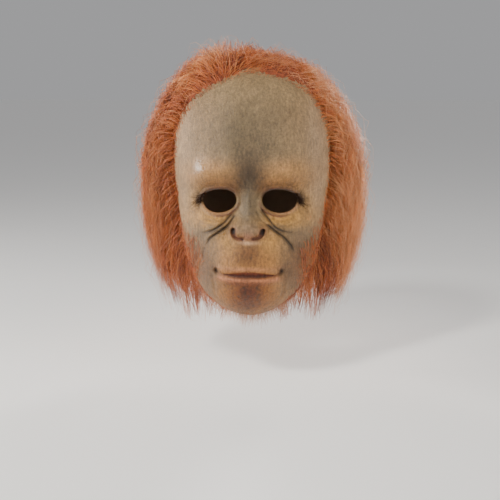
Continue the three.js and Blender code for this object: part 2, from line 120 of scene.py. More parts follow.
def head_point(azimuth, place):
    """Points of the plain head form; places past the rim run straight down."""
    below = np.maximum(place - RIM, 0) * 14.0
    place = np.clip(place, 0.02, RIM)
    s, c = np.sin(azimuth), np.cos(azimuth)
    sizes = (FRONT_REACH, FACE_HEIGHT, HALF_WIDTH, SIDE_HEIGHT, BACK_REACH, NAPE_HEIGHT)
    front, front_drop, side, side_drop, rear, rear_drop = (
        column_at(SECTIONS, k, place) * size for k, size in enumerate(sizes)
    )
    reach, drop = np.where(c > 0, (front, front_drop), (rear, rear_drop))
    radius = (np.abs(s / side) ** SQUARENESS + np.abs(c / reach) ** SQUARENESS) ** (-1 / SQUARENESS)
    z = SKIN_TOP - drop * c * c - side_drop * s * s - below
    return np.stack([radius * s, -radius * c, z], axis=-1)


def hair_point(azimuth, row):
    """Points of the hair's outer form."""
    row = np.clip(row, 0.02, len(HAIR_SECTIONS) - 1)
    s, c = np.sin(azimuth), np.cos(azimuth)
    sizes = (HAIR_HEIGHT, HAIR_HALF_WIDTH, HAIR_BACK_REACH, HAIR_FRONT_REACH)
    drop, side, back, front = (column_at(HAIR_SECTIONS, k, row) * size for k, size in enumerate(sizes))
    reach = np.where(c > 0, front, back)
    radius = 1 / np.hypot(s / np.maximum(side, 0.01), c / np.maximum(reach, 0.01))
    x, y = radius * s, -radius * c
    tuft = TUFT_RISE * np.exp(-0.5 * (((x + 37) / 33) ** 2 + (y / 82) ** 2))
    return np.stack([x, y, SKIN_TOP - drop + tuft], axis=-1)


# The face is laid out as seen from the front: across from the middle, and drop from the crown
EYE_ACROSS, EYE_DROP = 29.5, 137.9
EYE_HALF, EYE_UP, EYE_DOWN, EYE_TILT = 17, 11.2, 11.6, math.radians(6)

# A swelling or hollow on both sides of the middle plane: raise, across, drop, wide, tall, edge (or 1)
SWELLS = (
    (-7, 30, 138, 21, 14.7, 1.2),  # eye socket
    (5.2, 33, 110, 21, 11),  # brow
    (4, 46, 111, 9, 7.5),  # outer end of the brow
    (1.1, 31, 120.5, 17, 4),  # fold over the upper lid
    (3.4, 31, 157, 17, 5.5),  # bag under the eye
    (-2.4, 9.5, 142, 4.5, 9),  # inner corner of the eye
    (-2.4, 53, 140, 5.6, 5.6),  # outer corner of the eye
    (3.85, 48.5, 168, 18, 12),  # cheek
    (3.6, 0, 139, 6.5, 13),  # bridge of the nose
    (4.6, 0, 154, 9, 10.2),  # nose below the bridge
    (6.4, 0, 163.5, 10.5, 6.4, 1.3),  # tip of the nose
    (4.6, 11, 165.6, 4.2, 5.2, 1.1),  # wing of the nose
    (1.8, 0, 170.5, 3.2, 3.6),  # between the nostrils
    (-2.2, 20.5, 161, 5, 9.6),  # beside the nose
    (-1.3, 0, 176.5, 12, 4),  # under the nose
    (10.4, 0, 202, 34, 28, 1.6),  # muzzle
    (1.8, 0, 199, 25, 6),  # upper lip
    (2, 0, 212, 24, 4.3, 1.2),  # lower lip
    (-1.1, 0, 217.5, 19, 2.6),  # dip under the lower lip
    (3.2, 0, 229, 20, 8.5),  # chin
    (-2.2, 34, 205, 4, 6),  # corner of the mouth
    (-3.7, 48.8, 188, 10.4, 17),  # hollow of the cheek
    (-1.6, 62, 150, 8, 30),  # temple edge
    (1.4, 0, 78, 40, 22),  # forehead
    (-1.2, 0, 121, 5, 8),  # between the brows
)

# side (0 is both), width, raise, dark (how strong the painted shade along the fold is), then the points
# (across, drop) that the fold runs through
CREASES = (
    (-1, 0.85, -1.9, 1,
     ((14.5, 147.5), (19, 152.5), (23, 157), (28.3, 161.6), (35, 165.9), (41.7, 168.3), (50, 170.6))),
    (-1, 0.95, -2.1, 1,
     ((13, 149.5), (15.1, 152.8), (17.2, 156.3), (21.5, 161.8), (26.1, 165.2), (32.1, 169.5),
      (38.3, 174.5), (41.1, 179.5), (44, 184.5))),
    (-1, 1, -0.7, 0.4, ((43.6, 183.5), (45.2, 187.5), (46.4, 191), (46.8, 195))),
    (1, 0.85, -1.8, 1,
     ((11.5, 144.5), (13.5, 148), (20.4, 156.3), (24.4, 161.3), (29, 164.5), (35.3, 166.9), (49, 169))),
    (1, 0.75, -0.4, 0.25, ((8.8, 148.5), (9.8, 151.4), (12.1, 155.6), (16.6, 159.6), (21.5, 163.4))),
    (1, 1, -2.1, 1,
     ((16, 158.6), (21.1, 162.5), (27.6, 167.6), (34, 172.5), (39.3, 178.8), (43, 185), (45.5, 190))),
    (0, 1, -0.5, 0.25, ((20.5, 153.5), (28, 156.5), (37, 156.8), (46, 154.5))),
    (0, 0.9, -0.4, 0.2, ((26, 160.2), (35, 161.6), (45, 160), (54, 156.5))),
    (0, 0.7, -0.5, 0.3, ((51.5, 139), (55, 137.2), (60, 136.5))),
    (0, 0.7, -0.5, 0.3, ((51, 142.5), (55.5, 143), (61, 144.5))),
    (0, 0.7, -0.45, 0.3, ((49.5, 146), (53.5, 148.5), (58, 152.5))),
    (0, 0.9, -0.35, 0.12, ((13, 124.5), (20, 120.5), (30, 119.4), (40, 121.5), (48, 127.5))),
    (0, 0.8, -0.5, 0.4, ((2.5, 126), (3.5, 119), (8, 111), (14, 104.5))),
    (0, 0.8, -0.4, 0.3, ((6.5, 126.5), (9, 120), (14.5, 113.5), (21, 109.5))),
    (0, 0.7, -0.4, 0.25, ((50.5, 180), (52.5, 189), (52.8, 199))),
    (1, 0.7, -0.4, 0.3, ((48.5, 178), (49.5, 188), (48, 198))),
    (1, 0.7, -0.35, 0.2, ((55, 183), (56.5, 191), (56.8, 200))),
    (-1, 1.2, -0.8, 0.12, ((36.5, 209), (34.6, 214), (33.6, 221), (33.4, 228), (31, 235))),
    (1, 1.2, -0.8, 0.12, ((35.5, 209), (34.4, 214), (33.6, 221), (32.8, 228), (30, 235))),
)
MOUTH_LINE = (
    (-32.6, 204.9), (-28.5, 206.6), (-20.5, 207.7), (-11.5, 208.1), (0.8, 208), (12, 208.2), (20, 208.4),
    (26, 207.9), (29, 206.9), (30.8, 205.6),
)
NOSTRILS = (
    ((-14.6, 164.6), (-15, 166.6), (-14.4, 169), (-12.6, 171.2), (-9.8, 172.4), (-6, 172.9)),
    ((13.6, 165), (13, 166.9), (12, 169), (10.2, 170.9), (7.4, 172.2), (4.2, 172.6)),
)


def smooth_line(points, steps=12):
    """A Catmull-Rom line through points."""
    points = np.array(points, float)
    places = np.linspace(0, len(points) - 1, (len(points) - 1) * steps + 1)
    return np.stack([column_at(points, k, places) for k in (0, 1)], axis=-1)


def line_field(points, x, drop):
    """Distance to a line, the share of its length at the nearest place, and how far below it."""
    path = smooth_line(points)
    best = np.full(x.shape, 1e9)
    where = np.zeros(x.shape)
    below = np.zeros(x.shape)
    for i in range(len(path) - 1):
        (ax, ay), (bx, by) = path[i], path[i + 1]
        dx, dy = bx - ax, by - ay
        t = np.clip(((x - ax) * dx + (drop - ay) * dy) / (dx * dx + dy * dy), 0, 1)
        away = np.hypot(x - ax - t * dx, drop - ay - t * dy)
        near = away < best
        best = np.where(near, away, best)
        where = np.where(near, (i + t) / (len(path) - 1), where)
        below = np.where(near, drop - ay - t * dy, below)
    return best, where, below


def ease(low, high, value):
    t = np.clip((value - low) / (high - low), 0, 1)
    return t * t * (3 - 2 * t)


def bell(value, power=2):
    """1 at 0, and softly down to 0 on both sides."""
    return np.exp(-0.5 * value**power)


def blob(x, drop, across, down, wide, tall, edge=1):
    """A soft patch from 0 to 1, on both sides of the middle plane."""
    over = (np.abs(x) - across) / wide if across else x / wide
    return np.exp(-0.5 * (over**2 + ((drop - down) / tall) ** 2) ** edge)


def eye_field(x, drop):
    """Distance outside the nearer eye hole, its gradient across and down, and the height in the eye."""
    side = np.where(x < 0, -1, 1)
    u0, v0 = np.abs(x) - EYE_ACROSS, drop - EYE_DROP
    c, s = math.cos(EYE_TILT), math.sin(EYE_TILT)
    u, v = c * u0 + s * v0, -s * u0 + c * v0
    n = np.where(v < 0, 2.35, 2)
    tall = np.where(v < 0, EYE_UP, EYE_DOWN)
    f = (np.abs(u / EYE_HALF) ** n + np.abs(v / tall) ** n) ** (1 / n)
    f = np.maximum(f, 1e-3)
    gu = np.abs(u / EYE_HALF) ** (n - 1) * np.sign(u) / EYE_HALF * f ** (1 - n)
    gv = np.abs(v / tall) ** (n - 1) * np.sign(v) / tall * f ** (1 - n)
    size = np.maximum(np.hypot(gu, gv), 1e-4)
    away = (f - 1) / size
    gx, gd = c * gu - s * gv, s * gu + c * gv
    return away, side * gx / size, gd / size, v / tall


WAVE_SEED = 11
WAVES = np.random.default_rng(WAVE_SEED).normal(size=(18, 4))


def ripple(x, y, scale, seed=0):
    """A smooth random field of a few sine waves, from about -1 to 1."""
    total = np.zeros(np.shape(x))
    for k in range(6):
        a, b, c, d = WAVES[(k + seed) % len(WAVES)]
        total += np.sin(x * a / scale + y * b / scale + c * 7 + d * 3)
    return total / 6


def lens_top(x):
    """The drop of the upper edge of the dark gap between the lips."""
    return 203.0 + 4.6 * (x / 27) ** 2


def folds(x, drop):
    """Each crease, on its side or on both: width, raise, dark (strength of its painted shade), distance,
    place along it, how far below.
    """
    for side, width, lift, dark, points in CREASES:
        for one in (-1, 1) if side == 0 else (side,):
            yield width, lift, dark, *line_field([(one * px, py) for px, py in points], x, drop)


def nostrils(x, drop):
    """Each nostril: distance, place along it, how far below, width."""
    for line in NOSTRILS:
        away, where, below = line_field(line, x, drop)
        yield away, where, below, 1.3 + 0.75 * bell((where - 0.2) / 0.24)


def face_relief(x, drop):
    """How far the skin of the face stands forward of the head form, in mm."""
    forward = np.zeros(x.shape)
    for lift, *patch in SWELLS:
        forward += lift * blob(x, drop, *patch)
    for width, lift, _, away, where, _ in folds(x, drop):
        ends = ease(0, 0.15, where) * (1 - ease(0.7, 1, where))
        lip = bell((away - 2.2 * width) / (1.3 * width))
        forward += ends * lift * (bell(away / width) - 0.32 * lip)
    away, where, below = line_field(MOUTH_LINE, x, drop)
    inside = ease(0, 0.04, where) * (1 - ease(0.96, 1, where))
    forward -= 1.8 * bell(away)
    forward += inside * 1.3 * bell((drop - 201.4) / 1.7) * (np.abs(x) < 34)
    top = lens_top(x)
    forward -= inside * 0.9 * ease(top, top + 1.4, drop) * ease(0.5, -0.5, below) * (away < 12)
    forward += inside * 0.7 * bell((below - 3.2) / 1.7) * (away < 12)
    forward -= 2.6 * blob(x, drop, 31.8, 204.8, 1.7, 2.2)
    for away, where, below, width in nostrils(x, drop):
        forward -= (1.4 + 4.2 * (1 - where)) * bell(away / width, 4)
        forward += 0.7 * bell(away - 3.3) * (below > 0)
    away, _, _, height = eye_field(x, drop)
    rim = np.maximum(away, 0)
    forward += 1.5 * bell((rim - 1.8) / 1.1) * np.where(height > 0, 1, 0.75)
    forward -= 2.0 * bell(rim / 0.75)
    forward -= 0.6 * bell((rim - 4.6) / 0.8) * ease(-0.4, 0.4, -height)
    forward -= 0.35 * bell((rim - 4.8) / 0.7) * ease(0.1, 0.5, height)
    return forward


def skin_grain(x, drop):
    """Fine wrinkles: upright on the forehead, muzzle and cheeks, and level across the forehead's middle."""
    warp = 1.6 * ripple(x, drop, 14, 3)
    upright = np.sin((x + warp) * 2 * np.pi / 2.6 + 2.2 * ripple(x, drop, 9, 5))
    upright *= 0.5 + 0.5 * ripple(x, drop, 11, 8)
    level = np.sin((drop + warp) * 2 * np.pi / 3.4 + 1.5 * ripple(x, drop, 12, 1))
    forehead = blob(x, drop, 0, 80, 34, 34, 1.4)
    muzzle = blob(x, drop, 0, 190, 26, 14, 1.4)
    cheeks = blob(x, drop, 52, 178, 12, 22, 1.2)
    middle = blob(x, drop, 0, 88, 18, 24)
    return 0.26 * upright * (forehead + 0.6 * muzzle + 0.7 * cheeks) + 0.16 * level * middle


def colour(hex_text):
    """A colour from its six-digit name, in linear light."""
    parts = [int(hex_text[i:i + 2], 16) / 255 for i in (0, 2, 4)]
    return np.array([c / 12.92 if c <= 0.04045 else ((c + 0.055) / 1.055) ** 2.4 for c in parts])


def rgba(hex_text):
    return (*colour(hex_text), 1)


# Paint of the face, laid on in this order: colour, strength, across, drop, wide, tall, edge (or 1)
PAINT = (
    ("ab8d6c", 0.75, 70, 100, 12, 75, 1.5),  # paler edge beside the hair
    ("6e5c3f", 0.87, 0, 72, 33, 42, 1.4),  # middle of the forehead
    ("65543a", 0.6, 0, 96, 20, 26, 1.2),
    ("9a8059", 0.6, 0, 28, 42, 14, 1.2),  # top of the forehead
    ("ac7d47", 0.92, 36, 110, 20, 9, 1.2),  # brows
    ("8b5f2e", 0.85, 32, 120, 21, 7, 1.2),  # upper lids
    # painted shade under the fold over the upper lid, just above the eye hole
    ("6a4120", 0.75, 24, 125.5, 15, 2.8),
    ("7c5230", 0.5, 14, 124, 5, 6),
    ("bc8738", 0.95, 35, 156.5, 19, 8, 1.3),  # under the eyes
    ("ad8148", 0.8, 53, 146, 9, 14, 1.2),  # outer corners
    ("32200c", 0.95, 0, 113, 9.5, 15.5),  # between the brows
    ("766043", 0.92, 50, 178.5, 17, 12, 1.3),  # cheeks
    ("6a573d", 0.87, 28, 165.5, 9, 4.6, 1.2),
    ("6f5c40", 0.92, 0, 146, 9.5, 18, 1.3),  # bridge of the nose
    ("584b36", 0.6, 0, 134, 3, 10),
    ("85694b", 0.85, 0, 163, 12, 6, 1.2),  # tip of the nose
    ("a56e2f", 0.96, 0, 197, 33, 21, 2),  # muzzle
    ("ab7a36", 0.8, 21, 175, 9, 8, 1.3),
    ("945a1c", 0.94, 0, 229, 31, 19, 1.8),  # chin
    ("613a14", 0.8, 0, 187.5, 9, 9.5),  # shade in the middle of the upper lip
    ("8b6a42", 0.6, 36, 190, 6, 12, 1.2),
    ("b1764a", 0.7, 0, 201.6, 27, 2.4, 1.3),  # edge of the upper lip
    ("9c5a2c", 0.8, 0, 212.4, 28, 2.6, 1.5),  # lower lip
    ("5e4627", 0.8, 42, 209, 6.5, 18, 1.2),  # beside the mouth
    ("73502f", 0.8, 54, 206, 12, 20, 1.4),
    ("7a4f2e", 0.35, 50, 202, 8, 22, 1.2),
    ("a5705a", 0.55, 0, 170, 4.5, 2.8),  # between the nostrils
    # painted highlight on the fold under the nose
    ("cfa882", 0.8, -1, 176.2, 7, 1.5, 1.2),  # light fold under the nose
)


def face_paint(x, drop):
    """The paint of the face at arrays of points, in linear light, with painted shade in the creases, the
    mouth, the nostrils and round the eyes, and a painted highlight under the nose.
    """
    paint = np.tile(colour("90734f"), x.shape + (1,))

    def lay(hex_text, share):
        share = np.clip(share, 0, 1)[..., None]
        paint[...] = paint * (1 - share) + colour(hex_text) * share

    for hex_text, strength, *patch in PAINT:
        cloud = 1 + 0.25 * ripple(x, drop, 10, int(patch[1]) % 11)
        lay(hex_text, strength * blob(x, drop, *patch) * cloud)
    speckle = ripple(x, drop, 1.5, 2) + 0.8 * ripple(x, drop, 0.9, 7)
    stipple = blob(x, drop, 0, 220, 13, 7, 1.3) + blob(x, drop, 0, 234, 12, 9, 1.3)
    lay("5c2a08", 0.8 * stipple)
    lay("3a1c0a", 0.8 * stipple * ease(0.1, 0.6, speckle))
    lay("5a3a1c", 0.4 * ease(0.1, 0.7, speckle) * blob(x, drop, 0, 238, 28, 12, 1.5))
    # Painted shade along each crease: a broad soft band that leans below it, and a dark line in it.
    for width, _, dark, away, where, below in folds(x, drop):
        ends = ease(0, 0.12, where) * (1 - ease(0.75, 1, where))
        lay("453727", 0.5 * dark * ends * bell((away + 0.5 * (below < 0)) / (1.9 * width)))
        lay("281b11", 0.9 * dark * ends * bell(away / (0.7 * width)))
    away, where, below = line_field(MOUTH_LINE, x, drop)
    near = (away < 9) * ease(31.5, 28, np.abs(x))
    thick = 0.35 + 0.65 * bell(x / 19, 4)
    top = lens_top(x)
    red = ease(top - 0.6, top + 1.4, drop) * ease(0.6, -0.6, below) * near
    lay("682a12", 0.94 * red)
    # painted shade under the overhang of the upper lip: the red darkens towards the line
    lay("481707", 0.85 * red * ease(-3.4, -0.8, below))
    lay("b87550", 0.7 * bell((below - 3.2) / 1.7) * near)
    # painted shadow under the lower lip
    lay("6f3b1c", 0.75 * bell((below - 7.6) / 2) * near * bell(x / 17, 4))
    # painted shade in the seam between the lips and in the pits at its corners
    lay("3d1507", 0.95 * bell(away / (0.55 + 0.75 * thick)) * thick)
    lay("6e3a24", 0.5 * bell(away / 0.7) * (1 - thick))
    lay("1c0c07", 0.97 * blob(x, drop, 31.8, 204.6, 1.5, 2))
    lay("4a3322", 0.5 * blob(x, drop, 35, 205, 4, 6))
    for away, where, _, width in nostrils(x, drop):
        lay("7b4a33", 0.75 * bell(away / (1.5 * width)))
        lay("6a3c28", 0.85 * bell(away / width, 4))
        # painted shade: the shallow nostril hollows are painted near black, as a deep opening would look
        dark = 1 - 0.9 * ease(0.25, 0.5, where) + 0.4 * ease(0.8, 0.95, where)
        lay("1c0b05", 0.98 * bell(away / width, 4) * np.clip(dark, 0, 1))
    away, _, _, height = eye_field(x, drop)
    rim = np.maximum(away, 0)
    outer = ease(30, 46, np.abs(x))
    lay("301b0c", 0.8 * blob(x, drop, 49.5, 136.8, 4.4, 5.2, 1.2))
    # painted shade along the upper rim of the eye hole, stronger on its outer half
    lay("2e1b10", 0.7 * bell(rim / 2.6) * ease(-0.3, 0.5, -height) * (0.35 + 0.65 * outer))
    lay("cd9a74", 0.8 * bell(rim / 1.3) * ease(0, 0.4, height) * ease(14, 30, np.abs(x)))
    # painted shadow under the pale rim of the lower lid, mostly on its inner half
    lay("552815", 0.9 * bell(rim - 2.7) * ease(0, 0.4, height) * (1 - 0.9 * outer))
    # more painted shade along the upper rim of the eye hole
    lay("5d3a22", 0.6 * bell((rim - 1.6) / 1.2) * ease(0.2, 0.7, -height))
    lay("3c2115", 0.8 * bell(rim / 0.7) * ease(0.1, 0.5, -height))
    lay("8d7650", 0.5 * bell((np.abs(x) - 10.5) / 2.2) * blob(x, drop, 0, 141, 14, 7))
    mottle = 1 + 0.09 * ripple(x, drop, 3, 4) + 0.07 * ripple(x, drop, 1.3, 9)
    return np.clip(paint * mottle[..., None], 0, 1)


def grid_object(name, columns, rows):
    """A flat grid as a start, in edit order row by row, with nothing else selected."""
    bpy.ops.object.select_all(action="DESELECT")
    bpy.ops.mesh.primitive_grid_add(x_subdivisions=columns, y_subdivisions=rows, size=1)
    grid = bpy.context.active_object
    grid.name = grid.data.name = name
    return grid


def set_points(mesh, points):
    mesh.vertices.foreach_set("co", (points * MM).astype(np.float32).ravel())
    mesh.update()


def delete_faces(piece, chosen):
    """Deletes the faces that a list of flags marks."""
    bpy.ops.object.mode_set(mode="EDIT")
    bpy.ops.mesh.select_mode(type="FACE")
    bpy.ops.mesh.select_all(action="DESELECT")
    bpy.ops.object.mode_set(mode="OBJECT")
    piece.data.polygons.foreach_set("select", chosen)
    bpy.ops.object.mode_set(mode="EDIT")
    bpy.ops.mesh.delete(type="FACE")
    bpy.ops.mesh.select_all(action="SELECT")
    bpy.ops.mesh.remove_doubles(threshold=0.00002)
    bpy.ops.mesh.normals_make_consistent(inside=False)
    bpy.ops.object.mode_set(mode="OBJECT")


def thicken(piece, wall):
    solidify = piece.modifiers.new("wall", "SOLIDIFY")
    solidify.thickness = wall * MM
    solidify.offset = -1
    bpy.ops.object.modifier_apply(modifier=solidify.name)


def smooth(piece):
    piece.data.polygons.foreach_set("use_smooth", [True] * len(piece.data.polygons))


def set_colours(mesh, colours):
    """A colour at each point of a mesh, in linear light."""
    layer = mesh.color_attributes.new("paint", "FLOAT_COLOR", "POINT")
    four = np.ones((len(mesh.vertices), 4), np.float32)
    four[:, :3] = colours
    layer.data.foreach_set("color", four.ravel())


def seam_azimuth(place, reach):
    """The azimuth at which the head form crosses the upright plane of the seam."""
    low, high = np.zeros(place.shape), np.full(place.shape, math.pi / 2)
    for _ in range(40):
        middle = (low + high) / 2
        in_front = -head_point(middle, place)[..., 1] > reach
        low, high = np.where(in_front, middle, low), np.where(in_front, high, middle)
    return (low + high) / 2


def banded(bands):
    """Places along a line, from bands that each run up to a value with a number of steps."""
    places, start = [bands[0][0]], bands[0][0]
    for end, steps in bands[1:]:
        places += list(np.linspace(start, end, steps + 1)[1:])
        start = end
    return np.array(places)


# The face's grid, as bands: rows over the places from its top to the rim, columns out to a knee and on
# to the seam. The knee is an azimuth, and the eye holes lie in front of the plane EYE_FRONT.
FACE_TOP = 0.95
KNEE_SHARE = 0.7
FACE_ROWS = ((FACE_TOP,), (7, 36), (13, 130), (RIM, 26))
FACE_COLUMNS = ((0,), (KNEE_SHARE, 84), (1, 28))
KNEE = math.radians(36)
EYE_FRONT = -30
CAP_STEPS = (38, 72)


def make_face():
    rows = banded(FACE_ROWS)
    half = banded(FACE_COLUMNS)
    u = np.concatenate([-half[:0:-1], half])
    face = grid_object("face", len(u) - 1, len(rows) - 1)
    place, turn = np.meshgrid(rows, u, indexing="ij")
    limit = seam_azimuth(place, SEAM_REACH)
    knee = np.minimum(KNEE, KNEE_SHARE * limit)
    share = np.abs(turn)
    beyond = (share - KNEE_SHARE) / 0.3
    azimuth = np.where(share < KNEE_SHARE, share / KNEE_SHARE * knee, knee + beyond * (limit - knee))
    azimuth = azimuth * np.sign(turn)
    points = head_point(azimuth, place)
    away = eye_field(points[..., 0], SKIN_TOP - points[..., 2])[0]
    away = np.where(points[..., 1] < EYE_FRONT, away, 9)
    hole = away[:-1, :-1] + away[1:, :-1] + away[:-1, 1:] + away[1:, 1:] < 0
    padded = np.pad(hole, 1)
    beside = (padded[:-1, :-1], padded[1:, :-1], padded[:-1, 1:], padded[1:, 1:])
    edge = np.logical_or.reduce(beside) & ~np.logical_and.reduce(beside)
    for _ in range(4):
        away, gx, gd, _ = eye_field(points[..., 0], SKIN_TOP - points[..., 2])
        pulled = np.where(edge, -away, 0)
        points[..., 0] += pulled * gx
        points[..., 2] -= pulled * gd
    x, drop = points[..., 0], SKIN_TOP - points[..., 2]
    facing = ease(0, SEAM_REACH, -points[..., 1])
    points[..., 1] -= facing * (face_relief(x, drop) + skin_grain(x, drop))
    set_points(face.data, points.reshape(-1, 3))
    set_colours(face.data, face_paint(x, drop).reshape(-1, 3))
    delete_faces(face, hole.ravel())
    thicken(face, FACE_WALL)
    smooth(face)
    return face


def make_cap():
    rows = np.linspace(0, RIM, CAP_STEPS[0] + 1)
    u = np.linspace(-1, 1, CAP_STEPS[1] + 1)
    cap = grid_object("cap", CAP_STEPS[1], CAP_STEPS[0])
    place, turn = np.meshgrid(rows, u, indexing="ij")
    limit = seam_azimuth(np.maximum(place, FACE_TOP), SEAM_REACH - SEAM_GAP)
    limit = np.where(place < FACE_TOP, limit * place / FACE_TOP, limit)
    azimuth = math.pi + turn * (math.pi - limit)
    points = head_point(azimuth, place)
    points[0] = (0, 0, SKIN_TOP)
    set_points(cap.data, points.reshape(-1, 3))
    delete_faces(cap, np.zeros(len(cap.data.polygons), bool))
    thicken(cap, CAP_WALL)
    smooth(cap)
    return cap


def unit(vectors):
    return vectors / np.maximum(np.linalg.norm(vectors, axis=-1, keepdims=True), 1e-9)


def strand_mesh(name, lines, radii, colours):
    """One mesh of three-sided tapered strands. lines is (strands, points, 3) in mm, radii in mm."""
    count, steps, _ = lines.shape
    along = unit(np.gradient(lines, axis=1))
    side = unit(np.cross(along, np.where(np.abs(along[..., 2:3]) < 0.9, (0, 0, 1), (1, 0, 0))))
    other = np.cross(along, side)
    turns = np.array([0, 2 * math.pi / 3, 4 * math.pi / 3])
    ring = np.cos(turns)[:, None] * side[:, :, None] + np.sin(turns)[:, None] * other[:, :, None]
    points = (lines[:, :, None] + radii[:, :, None, None] * ring).reshape(-1, 3)
    base = (np.arange(count)[:, None, None] * steps + np.arange(steps - 1)[None, :, None]) * 3
    k = np.arange(3)[None, None, :]
    nxt = (k + 1) % 3
    quads = np.stack([base + k, base + nxt, base + 3 + nxt, base + 3 + k], axis=-1).reshape(-1, 4)
    first = np.arange(count) * steps * 3
    last = first + (steps - 1) * 3
    caps = np.concatenate([
        np.stack([first + 2, first + 1, first], axis=-1),
        np.stack([last, last + 1, last + 2], axis=-1),
    ])
    mesh = bpy.data.meshes.new(name)
    mesh.vertices.add(len(points))
    mesh.vertices.foreach_set("co", (points * MM).astype(np.float32).ravel())
    corners = np.concatenate([quads.ravel(), caps.ravel()]).astype(np.int32)
    sizes = np.repeat([4, 3], [len(quads), len(caps)])
    starts = np.concatenate([[0], np.cumsum(sizes)[:-1]]).astype(np.int32)
    mesh.loops.add(len(corners))
    mesh.loops.foreach_set("vertex_index", corners)
    mesh.polygons.add(len(sizes))
    mesh.polygons.foreach_set("loop_start", starts)
    mesh.polygons.foreach_set("use_smooth", np.ones(len(sizes), bool))
    mesh.update(calc_edges=True)
    mesh.validate()
    set_colours(mesh, np.repeat(colours, 3, axis=1).reshape(-1, 3))
    piece = bpy.data.objects.new(name, mesh)
    bpy.context.scene.collection.objects.link(piece)
    return piece


# Half width of the bare skin at each drop from the crown, on the viewer's left and right
HAIRLINE = np.array([
    (15.5, 0, 0),
    (17.5, 8, 12),
    (22, 19, 32),
    (30, 35, 48),
    (38, 47.5, 57),
    (52, 60, 66.5),
    (66, 68, 72.5),
    (90, 73.5, 77),
    (121, 75, 76.5),
    (150, 74.5, 73),
    (175, 69.5, 70),
    (198, 61, 63),
    (215, 51, 51),
    (232, 38, 38),
    (250, 34, 34),
])


def past_hairline(points):
    """How far out from the bare skin points of the head lie, across."""
    x, drop = points[..., 0], SKIN_TOP - points[..., 2]
    left, right = (np.interp(drop, HAIRLINE[:, 0], HAIRLINE[:, k]) for k in (1, 2))
    return np.abs(x) - np.where(x < 0, left, right)


HEAD_PLACE = HAIR_SECTIONS[:, 4]


def between(azimuth, row, depth):
    """A point between the skin, at depth 0, and the hair's outer form, at depth 1."""
    inner = head_point(azimuth, np.interp(row, np.arange(len(HEAD_PLACE)), HEAD_PLACE))
    outer = hair_point(azimuth, row)
    reach_in = np.linalg.norm(inner[..., :2], axis=-1)
    reach_out = np.linalg.norm(outer[..., :2], axis=-1)
    thin = np.where(reach_out < reach_in + 2.5, 1, 0)[..., None]
    lifted = inner * (1.03, 1.03, 1) + (0, 0, 0.5)
    outer = outer * (1 - thin) + lifted * thin
    return inner + (outer - inner) * depth[..., None]


class Form:
    """Signed distance to a form, read from a table of its profile in each upright half-plane."""

    STEP = 3.0
    TURNS = 72
    LOW, HIGH, WIDE = -330, 60, 165.0

    def __init__(self, point_at, rows):
        reach = np.arange(0, self.WIDE, self.STEP)
        height = np.arange(self.LOW, self.HIGH, self.STEP)
        r, z = np.meshgrid(reach, height, indexing="ij")
        layers = []
        for turn in np.linspace(-math.pi, math.pi, self.TURNS + 1):
            line = point_at(np.full(len(rows), turn), rows)
            profile = np.stack([np.hypot(line[:, 0], line[:, 1]), line[:, 2]], axis=-1)
            profile[0, 0] = 0
            profile = np.vstack([profile, profile[-1] - (0, 90)])
            best, signed = np.full(r.shape, 1e9), np.zeros(r.shape)
            for (r0, z0), (r1, z1) in zip(profile[:-1], profile[1:]):
                dr, dz = r1 - r0, z1 - z0
                size = math.hypot(dr, dz) + 1e-9
                t = np.clip(((r - r0) * dr + (z - z0) * dz) / size**2, 0, 1)
                er, ez = r - r0 - t * dr, z - z0 - t * dz
                gap = np.hypot(er, ez)
                near = gap < best
                best = np.where(near, gap, best)
                signed = np.where(near, np.where(-er * dz + ez * dr < 0, -gap, gap), signed)
            layers.append(signed)
        table = np.array(layers)
        _, dr, dz = np.gradient(table, 1, self.STEP, self.STEP)
        self.table = np.stack([table, dr, dz], axis=-1)

    def at(self, points):
        """The distance outside the form and the outward direction, at each point."""
        x, y, z = points[..., 0], points[..., 1], points[..., 2]
        reach = np.hypot(x, y)
        turn = (np.arctan2(x, -y) + math.pi) / (2 * math.pi) * self.TURNS
        places = (turn, reach / self.STEP, (z - self.LOW) / self.STEP)
        low, share = [], []
        for value, size in zip(places, self.table.shape):
            value = np.clip(value, 0, size - 1.001)
            low.append(np.floor(value).astype(int))
            share.append(value - low[-1])
        total = 0
        for corner in np.ndindex(2, 2, 2):
            weight = np.prod([s if up else 1 - s for s, up in zip(share, corner)], axis=0)
            total = total + weight[..., None] * self.table[tuple(a + up for a, up in zip(low, corner))]
        reach = np.maximum(reach, 1e-6)
        outward = np.stack([total[..., 1] * x / reach, total[..., 1] * y / reach, total[..., 2]], axis=-1)
        outward /= np.maximum(np.linalg.norm(outward, axis=-1, keepdims=True), 1e-6)
        return total[..., 0], outward


SKIN = Form(head_point, np.linspace(0.02, 18, 64))
COAT = Form(hair_point, np.linspace(0.02, 13, 56))
GROW_STEPS = 18
STRAND_POINTS = 9
LOCK_SIZE = 11
LEAST, MOST = (-129, -114, -268), (129, 140, 27)  # the box that every strand ends in
HAIR_PALETTE = np.array([colour(h) for h in ("5e230c", "8f3d13", "b65920", "cb6d29", "dc8a45", "eca974")])

